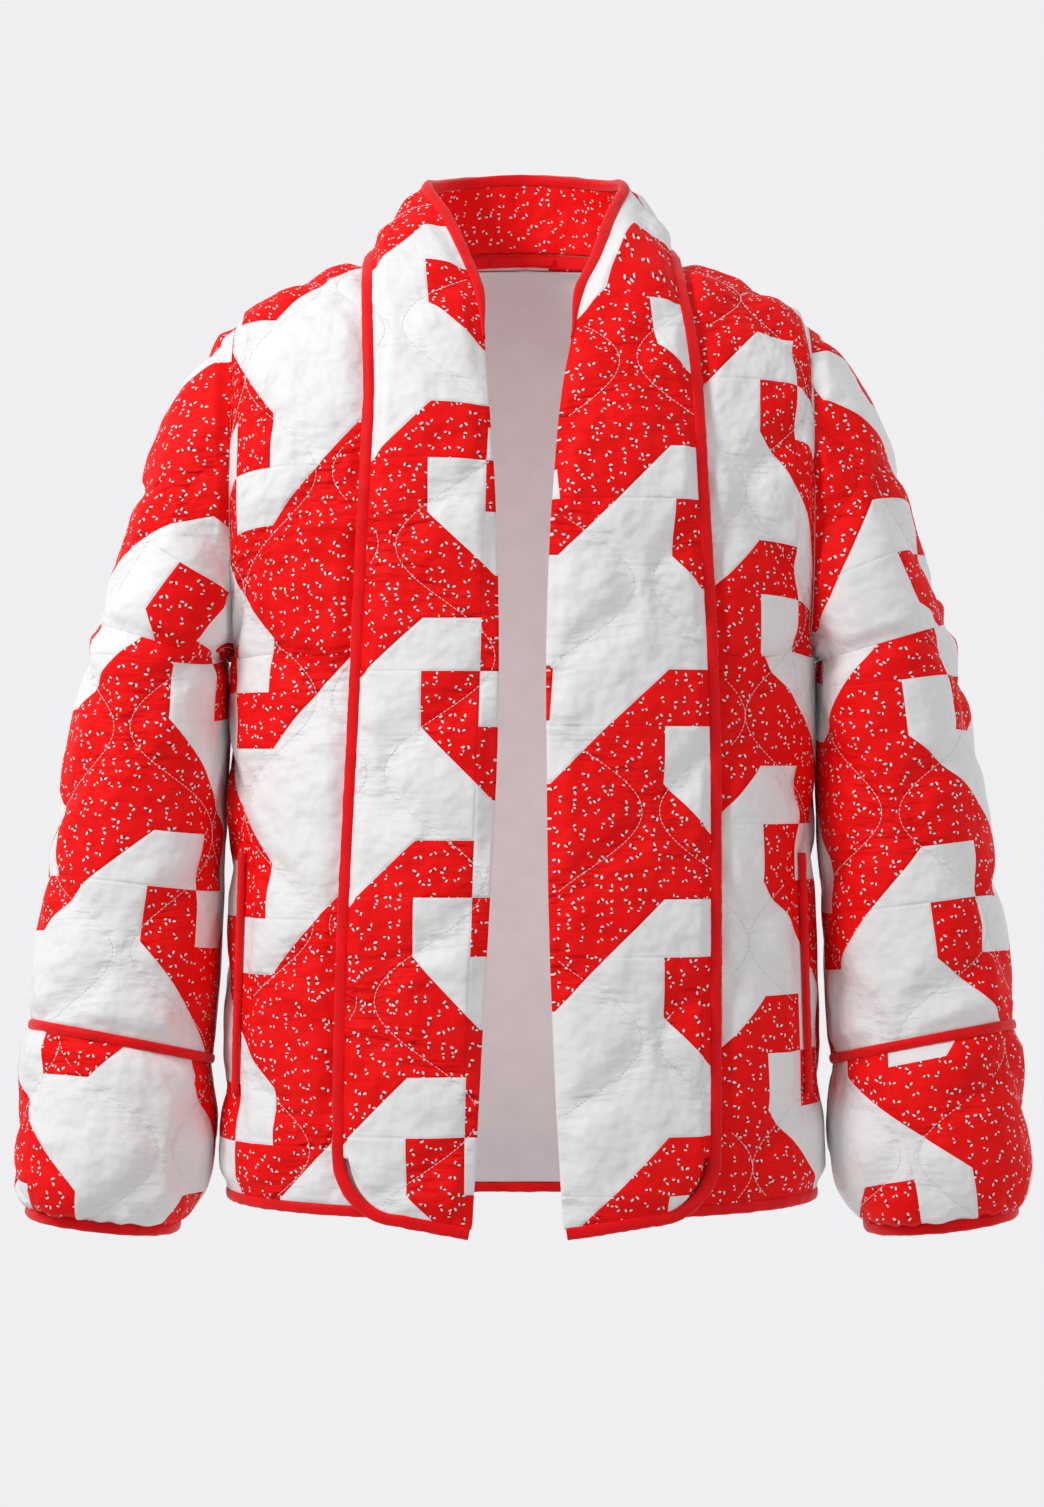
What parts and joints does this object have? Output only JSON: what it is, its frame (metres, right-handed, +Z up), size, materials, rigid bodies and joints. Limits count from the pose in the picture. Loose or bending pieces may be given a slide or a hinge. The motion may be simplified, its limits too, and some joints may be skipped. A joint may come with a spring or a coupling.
{
  "type": "quilted kimono jacket",
  "caption": "Short quilted kimono jacket, open in front, with wide bands, a standing collar, dropped sleeves and padded cuffs, filled out with no wearer.",
  "frame": {"origin": "middle of the shoulder line at the base of the neck, where a wearer's shoulders carry the jacket", "axes": "+Z up, the front faces -Y, +X towards the wearer's left"},
  "size_m": [0.7047, 0.2628, 0.7494],
  "materials": {
    "patchwork_cotton": "soft printed cotton pieced with white cotton sateen, quilted",
    "lining_cotton": "soft white cotton sateen",
    "bias_binding": "plain red cotton bias binding"
  },
  "bodies": {
    "root": {"front_right": "patchwork_cotton", "front_left": "patchwork_cotton", "back": "patchwork_cotton", "lining_back": "lining_cotton", "band_right": "patchwork_cotton", "band_left": "patchwork_cotton", "collar_back": "patchwork_cotton", "sleeve_upper_right": "patchwork_cotton", "sleeve_lower_right": "patchwork_cotton", "cuff_right": "patchwork_cotton", "sleeve_upper_left": "patchwork_cotton", "sleeve_lower_left": "patchwork_cotton", "cuff_left": "patchwork_cotton", "binding_band_right": "bias_binding", "binding_hem_front_right": "bias_binding", "binding_pocket_right": "bias_binding", "binding_cuff_right": "bias_binding", "binding_wrist_right": "bias_binding", "binding_band_left": "bias_binding", "binding_hem_front_left": "bias_binding", "binding_pocket_left": "bias_binding", "binding_cuff_left": "bias_binding", "binding_wrist_left": "bias_binding", "binding_hem_back": "bias_binding", "binding_neck": "bias_binding", "binding_collar": "bias_binding", "neck_tape": "bias_binding", "hanger_loop": "bias_binding"}
  },
  "joints": []
}
